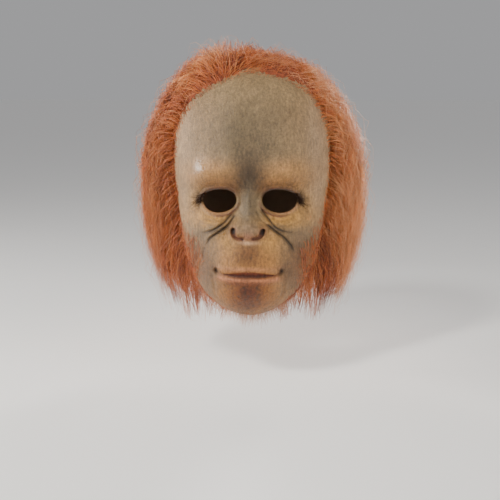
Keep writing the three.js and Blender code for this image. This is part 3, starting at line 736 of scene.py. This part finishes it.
# The kinds of strand, in the order they grow: how many there are, where they root (mm outside the
# hairline) and how many times as many roots are tried, length (a factor, or mm), layer (mm outside the
# coat's form; a share of its thickness for deep), spread, frizz, hold of the lock, radius and tone
Kind = namedtuple("Kind", "name count inside outside tries length layer wild frizz hold thick tone")
HAIR_KINDS = (
    Kind("deep", 2200, 0, 200, 1, 1, (0, 1), 0.16, 0.03, 0.8, 0.4, -0.09),
    Kind("coat", 5000, 0, 200, 1, 1, (-6, 0.5), 0.14, 0.05, 0.75, 0.27, 0.06),
    Kind("edge", 1800, -0.5, 7, 1, 0.62, (-9, -2), 0.14, 0.03, 0.6, 0.22, 0.05),
    Kind("stray", 1300, 0, 200, 1, 1, (-1, 5), 0.26, 0.09, 0.15, 0.18, 0.14),
    Kind("fly", 900, 0, 200, 1, 1.05, (3, 11), 0.42, 0.11, 0, 0.12, 0.22),
    Kind("cheek", 650, -18, 1, 2, 0.3, (-8, -2), 0.2, 0.06, 0.2, 0.17, 0.1),
    Kind("veil", 2400, 0, 200, 3, (120, 250), (-4, 2.5), 0.12, 0.055, 0.6, 0.22, 0.14),
    Kind("jaw", 1500, -9, 200, 4, (40, 85), (-48, -8), 0.18, 0.055, 0.55, 0.25, 0.05),
)


def scatter_roots(rng, count, inside, outside):
    """Root points over the head, evenly by area, from a distance inside the hairline outwards."""
    azimuth = rng.uniform(-math.pi, math.pi, count * 12)
    place = rng.uniform(0.1, 15.4, len(azimuth))
    root = head_point(azimuth, place)
    step = head_point(azimuth, place + 0.05) - root
    area = np.hypot(root[:, 0], root[:, 1]) * np.linalg.norm(step, axis=1)
    drop = SKIN_TOP - root[:, 2]
    edge = np.where(root[:, 1] < 0, past_hairline(root), 99)
    lowest = np.where(root[:, 1] < 0, 236, 203)
    keep = (edge > inside) & (edge < outside) & (drop < lowest)
    keep &= rng.random(len(root)) < area / area.max() * 1.6
    return root[keep][:count]


def grow(rng, root, length, layer, kind):
    """Strands that leave the skin away from the face, rise to their layer of the coat and hang."""
    n = len(root)
    _, normal = SKIN.at(root)
    drop = SKIN_TOP - root[:, 2]
    over_brow = ease(70, 10, drop)
    across = (root[:, 0] + 28 * over_brow) * (1.2 + 1.8 * over_brow)
    away = np.stack([across, np.zeros(n), (root[:, 2] + 72) * (1 - 0.35 * over_brow)], axis=-1)
    away = unit(away)
    front = ease(30, -35, root[:, 1])[:, None]
    combed = np.array([0, 0.3, 0]) + away
    combed[:, 1] += 0.45 * over_brow
    swept = unit((root - (0, -35, 0)) * (1, 1, 0)) * 0.8 + (0, 0.1, -0.45)
    heading = (0.35 - 0.1 * front) * normal + 1.05 * front * combed + (1 - front) * swept
    if kind.name == "jaw":
        heading = 0.5 * normal + (0, -0.05, -1)
    heading = unit(heading) + rng.normal(0, kind.wild, (n, 3))
    reach, limit, fading = (14, 0.5, 0.4) if kind.name == "veil" else (25, 0.2, 2)
    turns = rng.normal(0, 1, (n, 2, 3))
    phase, speed = rng.uniform(0, 6.28, (n, 2)), rng.uniform(0.7, 1.6, (n, 2))
    points, point = [root + 0.2 * normal], root + 0.2 * normal
    direction = unit(heading)
    step = (length / GROW_STEPS)[:, None]
    for i in range(GROW_STEPS):
        t = (i + 1) / GROW_STEPS
        outside, out_way = COAT.at(point)
        above, up_way = SKIN.at(point)
        room = layer - outside
        # its weight, then out to its layer or back in from beyond it, then off the skin
        direction = direction + np.array([0, 0, -1]) * step * (0.012 + 0.075 * t)
        rise = np.clip(room / reach, 0, limit * (1 - t) ** fading) + np.clip(room / 3.5, -1.3, 0)
        direction = direction + rise[:, None] * out_way * np.minimum(step / 5, 1.4)
        direction = direction + up_way * np.clip((1.0 - above) / 4, 0, 0.8)[:, None]
        bend = sum(
            turns[:, k] * np.sin(6.28 * speed[:, k] * (k + 0.8) * t + phase[:, k])[:, None] for k in (0, 1)
        )
        direction = unit(direction + kind.frizz * bend * (0.3 + 0.7 * t))
        point = point + direction * step
        points.append(point)
    return np.stack(points, axis=1)


def gather(rng, lines, root, spread, hold):
    """Draws strands together into locks, by the nearest of some random middles."""
    middles = root[rng.choice(len(root), max(2, len(root) // spread), replace=False)]
    lock = np.empty(len(root), int)
    for start in range(0, len(root), 1000):
        part = root[start:start + 1000]
        lock[start:start + 1000] = ((part[:, None, :] - middles[None]) ** 2).sum(axis=2).argmin(axis=1)
    size = np.bincount(lock, minlength=len(middles))[:, None, None]
    total = np.zeros((len(middles),) + lines.shape[1:])
    np.add.at(total, lock, lines)
    centre = (total / np.maximum(size, 1))[lock]
    t = np.linspace(0, 1, lines.shape[1])[None, :, None]
    pull = hold * rng.uniform(0.3, 1, len(root))[:, None, None] * ease(0.15, 0.9, t)
    return lines + (centre - lines) * pull, lock


def resampled(lines, count):
    places = np.linspace(0, lines.shape[1] - 1, count)
    low = np.minimum(np.floor(places).astype(int), lines.shape[1] - 2)
    share = (places - low)[None, :, None]
    return lines[:, low] * (1 - share) + lines[:, low + 1] * share


def hair_strands(rng, kind):
    """Lines, radii and colours of one kind of strand."""
    root = scatter_roots(rng, kind.count * kind.tries, kind.inside, kind.outside)
    drop = SKIN_TOP - root[:, 2]
    if kind.name == "cheek":
        root = root[drop > 150 + 30 * rng.random(len(root))]
    if kind.name == "edge":
        root = root[root[:, 1] < -5]
    if kind.name == "jaw":
        root = root[(drop > 165) & (np.abs(root[:, 1] + 15) < 45)]
    if kind.name == "veil":
        root = root[(drop < 110) & (root[:, 1] > -25)]
    root = root[:kind.count]
    drop = SKIN_TOP - root[:, 2]
    n = len(root)
    top_front = ease(80, 15, drop) * ease(20, -30, root[:, 1])
    tuft = bell((root[:, 0] + 30) / 14) * top_front
    side_length = 150 - 55 * ease(60, 210, drop)
    length = (side_length * (1 - top_front) + (46 + 14 * tuft) * top_front) * rng.uniform(0.55, 1.15, n)
    layers = {each: rng.uniform(*each.layer, n) for each in HAIR_KINDS}  # each kind draws all of them
    layer = layers[kind]
    if kind.name == "deep":
        layer = -6 - np.maximum(-COAT.at(root)[0] - 10, 4) * layer
    layer = layer - 5 * ease(130, 225, drop) - 5 * top_front * ease(-40, 0, root[:, 0]) - top_front + 2 * tuft
    length = rng.uniform(*kind.length, n) if isinstance(kind.length, tuple) else length * kind.length
    lines = grow(rng, root, length, layer, kind)
    lines, lock = gather(rng, lines, root, LOCK_SIZE, kind.hold)
    tone_of_lock = rng.random(lock.max() + 1)[lock]
    end = -236 - 27 * rng.random(lock.max() + 1)[lock] ** 1.2 - 7 * rng.random(n)
    if kind.name == "fly":
        end = end - 10
    lines = resampled(lines, STRAND_POINTS)
    over = np.maximum(end[:, None] - lines[..., 2], 0)
    lines[..., 2] += over * 0.85
    lines = np.clip(lines, LEAST, MOST)
    t = np.linspace(0, 1, STRAND_POINTS)[None, :]
    radii = kind.thick * rng.uniform(0.7, 1.3, n)[:, None] * (1 - 0.88 * t**1.8)
    tone = 0.06 + 0.46 * tone_of_lock + 0.22 * rng.random(n)
    tone += kind.tone
    x, y, z = lines[:, 5].T
    # painted light: strands towards the +X side and the front made lighter, as if lit from that side
    tone += (0.18 + 0.14 * ease(40, -10, y)) * ease(35, 95, x) * ease(-235, -165, z)
    tone -= 0.3 * ease(40, 90, x) * ease(-200, -242, z)
    tone -= 0.2 * ease(-40, -90, x) * ease(-180, -230, z)
    # the ends grow lighter: partly the hair's own paler tips, partly painted glow of light through them
    tones = np.clip(tone[:, None] + 0.3 * ease(0, 0.45, t) - 0.16, 0, 0.999) * (len(HAIR_PALETTE) - 1)
    low = np.floor(tones).astype(int)
    mix = (tones - low)[..., None]
    return lines, radii, HAIR_PALETTE[low] * (1 - mix) + HAIR_PALETTE[low + 1] * mix


HAIR_SEED = 42
HAIR_PIECES = ("hair_back_right", "hair_side_right", "hair_front", "hair_side_left", "hair_back_left")


def make_hair():
    rng = np.random.default_rng(HAIR_SEED)
    sets = [hair_strands(rng, kind) for kind in HAIR_KINDS]
    lines, radii, colours = (np.concatenate(part) for part in zip(*sets))
    turn = np.arctan2(lines[:, 4, 0], -lines[:, 4, 1])
    rank = np.argsort(np.argsort(turn)) * len(HAIR_PIECES) // len(turn)
    return [
        strand_mesh(name, lines[rank == k], radii[rank == k], colours[rank == k])
        for k, name in enumerate(HAIR_PIECES)
    ]


BED_STEPS = (49, 144)
BED_WALL = 1.5


def make_under_hair():
    """A closed brown bed under the strands, so that no cap shows between them. Its lower edge is uneven."""
    shares = np.linspace(0, 12.2, BED_STEPS[0] + 1)
    turns = np.linspace(-math.pi, math.pi, BED_STEPS[1] + 1)
    bed = grid_object("hair_bed", BED_STEPS[1], BED_STEPS[0])
    row, azimuth = np.meshgrid(shares, turns, indexing="ij")
    beside_jaw = np.exp(-(((np.abs(azimuth) - 1.3) / 0.22) ** 2))
    lowest = 11.5 + 0.6 * beside_jaw + 0.2 * np.sin(azimuth * 37) + 0.15 * np.sin(azimuth * 61 + 1)
    row = row * lowest / shares[-1]
    root = between(azimuth, row, np.zeros(row.shape))
    edge = past_hairline(root)
    cover = np.where(root[..., 1] < 0, ease(6, 22, edge), 1)
    depth = 0.04 + (0.12 + 0.3 * ease(3, 7, row) + 0.04 * np.sin(azimuth * 40)) * cover
    points = between(azimuth, row, depth)
    points[0] = points[0].mean(axis=0)
    set_points(bed.data, points.reshape(-1, 3))
    bare = (edge < 7) & (root[..., 1] < 0) | (row > 11.3) & (np.abs(azimuth) < 1.25)
    hole = bare[:-1, :-1] | bare[1:, :-1] | bare[:-1, 1:] | bare[1:, 1:]
    delete_faces(bed, hole.ravel())
    thicken(bed, BED_WALL)
    smooth(bed)
    return bed


def skin_at(x, drop):
    """Points of the face's skin seen from the front at a place across and down."""
    azimuth, place = x / FRONT_REACH, drop / FACE_HEIGHT * RIM
    for _ in range(40):
        point = head_point(azimuth, place)
        azimuth = azimuth + 0.7 * (x - point[..., 0]) / FRONT_REACH
        place = place + 0.7 * RIM * (drop + point[..., 2] - SKIN_TOP) / FACE_HEIGHT
    point = head_point(azimuth, place)
    facing = ease(0, SEAM_REACH, -point[..., 1])
    point[..., 1] -= facing * face_relief(point[..., 0], SKIN_TOP - point[..., 2])
    return point


LASHES, LASH_POINTS, LASH_SEEDS = 110, 7, {1: 7, -1: 8}
FRINGE_STRANDS, FRINGE_POINTS, FRINGE_SEED = 600, 8, 21


def make_lashes(side, name):
    """Dark lashes round the outer end of the upper lid, swept out and mostly down."""
    rng = np.random.default_rng(LASH_SEEDS[side])
    n = LASHES
    turn = math.radians(52) * rng.random(n) ** 1.2 - math.radians(6)
    rim = rng.uniform(0.3, 2.4, n)
    u, v = (EYE_HALF + rim) * np.cos(turn), -(EYE_UP + rim) * np.sin(turn)
    c, s = math.cos(EYE_TILT), math.sin(EYE_TILT)
    x = side * (EYE_ACROSS + c * u - s * v)
    root = skin_at(x, EYE_DROP + s * u + c * v)
    t = np.linspace(0, 1, LASH_POINTS)[None, :, None]
    fan = rng.uniform(-1.1, 0.15, n)
    out = np.stack([np.full(n, side), np.full(n, -0.5), fan], axis=-1)
    out += rng.normal(0, 0.1, out.shape)
    length = rng.uniform(4.5, 13, n)[:, None, None]
    droop = np.stack([np.zeros(n), np.full(n, 0.35), rng.uniform(-0.25, 0.25, n)], axis=-1)
    lines = root[:, None, :] + length * (out[:, None, :] * t + droop[:, None, :] * t**2 * 0.6)
    radii = 0.13 * rng.uniform(0.8, 1.3, n)[:, None] * (1 - 0.85 * t[..., 0])
    colours = np.tile(colour("2a170b"), (n, LASH_POINTS, 1)) * rng.uniform(0.6, 1.6, n)[:, None, None]
    return strand_mesh(name, lines, radii, colours)


def make_fringe():
    """The sparse pale red fringe under the chin."""
    rng = np.random.default_rng(FRINGE_SEED)
    n = FRINGE_STRANDS
    azimuth = rng.normal(0, math.radians(24), n)
    place = rng.uniform(14.3, 15.6, n)
    root = head_point(azimuth, place)
    t = np.linspace(0, 1, FRINGE_POINTS)[None, :, None]
    out = np.stack([np.sin(azimuth) * 0.5, np.full(n, -0.35), -np.ones(n)], axis=-1)
    out += rng.normal(0, 0.16, out.shape)
    length = rng.uniform(4, 12, n)[:, None, None]
    lines = root[:, None, :] + length * out[:, None, :] * t
    lines[..., 0] += rng.normal(0, 1.2, n)[:, None] * t[..., 0] ** 2
    radii = 0.14 * rng.uniform(0.7, 1.3, n)[:, None] * (1 - 0.85 * t[..., 0])
    tone = rng.uniform(0.35, 0.95, n)[:, None, None]
    colours = colour("9c5a30") * (1 - tone) + colour("e0a67c") * tone
    colours = np.broadcast_to(colours, (n, FRINGE_POINTS, 3))
    return strand_mesh("fringe", lines, radii, colours)


def set_inputs(made, inputs):
    """Links a source to each of a node's inputs that is named, or sets the input's own value."""
    for key, value in inputs.items():
        if isinstance(value, bpy.types.NodeSocket):
            made.id_data.links.new(value, made.inputs[key])
        else:
            made.inputs[key].default_value = value


def node(tree, kind, inputs=None, **settings):
    made = tree.nodes.new(kind)
    for key, value in settings.items():
        setattr(made, key, value)
    set_inputs(made, inputs or {})
    return made


def new_material(name):
    material = bpy.data.materials.new(name)
    material.use_nodes = True
    tree = material.node_tree
    return material, tree, tree.nodes["Principled BSDF"]


def object_noise(tree, scale, detail=4, stretch=(1, 1, 1), roughness=0.55):
    place = node(tree, "ShaderNodeTexCoord").outputs["Object"]
    place = node(tree, "ShaderNodeMapping", {"Vector": place, "Scale": stretch}).outputs["Vector"]
    values = {"Vector": place, "Scale": scale, "Detail": detail, "Roughness": roughness}
    return node(tree, "ShaderNodeTexNoise", values).outputs["Fac"]


def mixed(tree, factor, first, second, blend="MIX"):
    values = {"Factor": factor, 6: first, 7: second}
    return node(tree, "ShaderNodeMix", values, data_type="RGBA", blend_type=blend).outputs[2]


def ramped(tree, source, low, high):
    """A source whose values from low[0] to high[0] become values from low[1] to high[1]."""
    values = {"Value": source, "From Min": low[0], "From Max": high[0], "To Min": low[1], "To Max": high[1]}
    return node(tree, "ShaderNodeMapRange", values).outputs["Result"]


def combined(tree, operation, total, *others):
    for other in others:
        total = node(tree, "ShaderNodeMath", {0: total, 1: other}, operation=operation).outputs[0]
    return total


def shaded_paint(tree, shade):
    """The paint on the points of a piece, made darker or lighter by a shade."""
    paint = node(tree, "ShaderNodeVertexColor", layer_name="paint").outputs["Color"]
    grey = node(tree, "ShaderNodeCombineColor", dict.fromkeys(("Red", "Green", "Blue"), shade))
    return mixed(tree, 1, paint, grey.outputs["Color"], "MULTIPLY")


def bumped(tree, height, strength, distance):
    values = {"Height": height, "Strength": strength, "Distance": distance}
    return node(tree, "ShaderNodeBump", values).outputs["Normal"]


SHINY_BROW = (-0.0486, -0.0868, -0.1025)  # where the rubber is worn smooth, in metres


def painted_rubber():
    material, tree, shader = new_material("painted_rubber")
    fine = object_noise(tree, 420, 6, roughness=0.7)
    broad = object_noise(tree, 60)
    upright = object_noise(tree, 430, 5, (1, 0.5, 0.3), 0.7)
    shades = (
        ramped(tree, fine, (0.36, 0.68), (0.64, 1.2)),
        ramped(tree, broad, (0.3, 0.9), (0.7, 1.1)),
        ramped(tree, upright, (0.38, 0.74), (0.62, 1.14)),
    )
    place = node(tree, "ShaderNodeTexCoord").outputs["Object"]
    brow = node(tree, "ShaderNodeVectorMath", {0: place, 1: SHINY_BROW}, operation="DISTANCE")
    from_brow = brow.outputs["Value"]
    rough = ramped(tree, fine, (0.3, 0.34), (0.7, 0.52))
    worn = ramped(tree, from_brow, (0.007, 0.66), (0.017, 1))
    pores = node(tree, "ShaderNodeTexVoronoi", {"Vector": place, "Scale": 700}).outputs["Distance"]
    height = combined(tree, "ADD", upright, fine, ramped(tree, pores, (0, 0), (0.5, 0.5)))
    strength = ramped(tree, from_brow, (0.005, 0.2), (0.017, 0.8))
    set_inputs(shader, {
        "Base Color": shaded_paint(tree, combined(tree, "MULTIPLY", *shades)),
        "Roughness": combined(tree, "MULTIPLY", rough, worn),
        "Specular IOR Level": 0.4,
        "Subsurface Weight": 0.08,
        "Subsurface Scale": 0.002,
        "Subsurface Radius": (1, 0.5, 0.3),
        "Normal": bumped(tree, height, strength, 0.0011),
    })
    return material


def cap_rubber():
    material, tree, shader = new_material("cap_rubber")
    set_inputs(shader, {
        "Base Color": mixed(tree, object_noise(tree, 90, 5), rgba("6d5a47"), rgba("8a7660")),
        "Roughness": 0.65,
        "Normal": bumped(tree, object_noise(tree, 500, 5), 0.4, 0.0005),
    })
    return material


def strand_fibre(name, roughness, sheen, shine=0.4):
    material, tree, shader = new_material(name)
    streaks = object_noise(tree, 160, 3, (1, 1, 0.35))
    set_inputs(shader, {
        "Base Color": shaded_paint(tree, ramped(tree, streaks, (0.3, 0.78), (0.7, 1.2))),
        "Roughness": roughness,
        "Specular IOR Level": shine,
        "Sheen Weight": sheen,
    })
    return material


def bed_fibre():
    material, tree, shader = new_material("hair_bed_fibre")
    streaks = object_noise(tree, 260, 6, (1, 1, 0.15))
    light = ramped(tree, streaks, (0.35, 0), (0.7, 1))
    set_inputs(shader, {
        "Base Color": mixed(tree, light, rgba("5c2610"), rgba("a34f26")),
        "Roughness": 0.8,
        "Normal": bumped(tree, streaks, 0.9, 0.002),
    })
    return material


def dress(piece, material, slot, *nodes):
    piece.data.materials.clear()
    piece.data.materials.append(material)
    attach(piece, "root")
    if nodes:
        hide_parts(*nodes)


dress(make_face(), painted_rubber(), "face_rubber", "face_skin")
dress(make_cap(), cap_rubber(), "cap_rubber", "scalp_cap")
fibre = strand_fibre("hair_fibre", 0.45, 0.15)
dress(make_under_hair(), bed_fibre(), "hair", "hair")
for lock in make_hair():
    dress(lock, fibre, "hair", "hair")
lash_fibre = strand_fibre("lash_fibre", 0.7, 0, 0.15)
dress(make_lashes(1, "lashes_left"), lash_fibre, "lash_hair", "lash_left")
dress(make_lashes(-1, "lashes_right"), lash_fibre, "lash_hair", "lash_right")
dress(make_fringe(), strand_fibre("fringe_fibre", 0.45, 0.1), "fringe_hair", "chin_fringe")


# Floor, light and camera, in metres
FLOOR_DROP = 0.32
FLOOR_SIZE = 30
ROOM_COLOUR = (0.98, 0.98, 1, 1)
bpy.ops.mesh.primitive_plane_add(size=FLOOR_SIZE, location=(0, 0, -FLOOR_DROP))
floor = bpy.context.active_object
floor.name = "studio_floor"
pale, tree, shader = new_material("pale_floor")
set_inputs(shader, {
    "Base Color": (0.84, 0.83, 0.81, 1),
    "Roughness": 0.9,
    "Emission Color": ROOM_COLOUR,
    "Emission Strength": 0.06,
})
floor.data.materials.append(pale)

world = bpy.data.worlds.new("studio")
bpy.context.scene.world = world
world.use_nodes = True
set_inputs(world.node_tree.nodes["Background"], {"Color": ROOM_COLOUR, "Strength": 0.38})


LAMP_TARGET = Vector((0, -0.04, -0.13))


def add_light(name, place, size, power, tint, spread=180):
    light = bpy.data.lights.new(name, "AREA")
    light.shape = "DISK"
    light.size = size
    light.energy = power
    light.spread = math.radians(spread)
    light.color = tint
    lamp = bpy.data.objects.new(name, light)
    bpy.context.scene.collection.objects.link(lamp)
    lamp.location = place
    lamp.visible_camera = False
    aim = LAMP_TARGET - Vector(place)
    lamp.rotation_euler = aim.to_track_quat("-Z", "Y").to_euler()


add_light("key", (-0.75, -1.1, 0.95), 0.3, 24, (1, 0.96, 0.9))
add_light("fill", (1.3, -0.9, 0.25), 0.9, 15, (1, 0.97, 0.93))
add_light("gloss", (-1.22, 0.04, 0.06), 0.24, 13, (1, 0.98, 0.95))
add_light("rim", (0.66, 1.4, 0.3), 0.3, 0.9, (1, 0.93, 0.85), 30)
add_light("rim_left", (-0.66, 1.4, 0.3), 0.3, 0.6, (1, 0.93, 0.85), 30)

# The camera stands 1 m from a point at eye height on the face, a little to the wearer's left and above
TARGET = Vector((0, -0.090, -0.135))
AZIMUTH, ELEVATION, DISTANCE = math.radians(2.6), math.radians(6.7), 1.0
PICTURE_PX = 500
FOCAL_PX = 1031
TARGET_PX = (249, 202)
SENSOR_WIDTH = 36


def outwards(rise):
    """The direction from the head towards the camera's side, at an angle of rise."""
    return Vector((math.sin(AZIMUTH) * math.cos(rise), -math.cos(AZIMUTH) * math.cos(rise), math.sin(rise)))


away = outwards(ELEVATION)
back = outwards(ELEVATION + math.atan((PICTURE_PX / 2 - TARGET_PX[1]) / FOCAL_PX))
right = Vector((math.cos(AZIMUTH), math.sin(AZIMUTH), 0))
up = back.cross(right)
camera_data = bpy.data.cameras.new("camera")
camera = bpy.data.objects.new("camera", camera_data)
bpy.context.scene.collection.objects.link(camera)
camera_data.sensor_width = SENSOR_WIDTH
camera_data.lens = SENSOR_WIDTH * FOCAL_PX / PICTURE_PX
camera_data.clip_start = 0.05
camera_data.clip_end = 50
place = TARGET + away * DISTANCE + right * ((PICTURE_PX / 2 - TARGET_PX[0]) / FOCAL_PX * DISTANCE)
camera.matrix_world = Matrix((
    (right.x, up.x, back.x, place.x),
    (right.y, up.y, back.y, place.y),
    (right.z, up.z, back.z, place.z),
    (0, 0, 0, 1),
))
bpy.context.scene.camera = camera
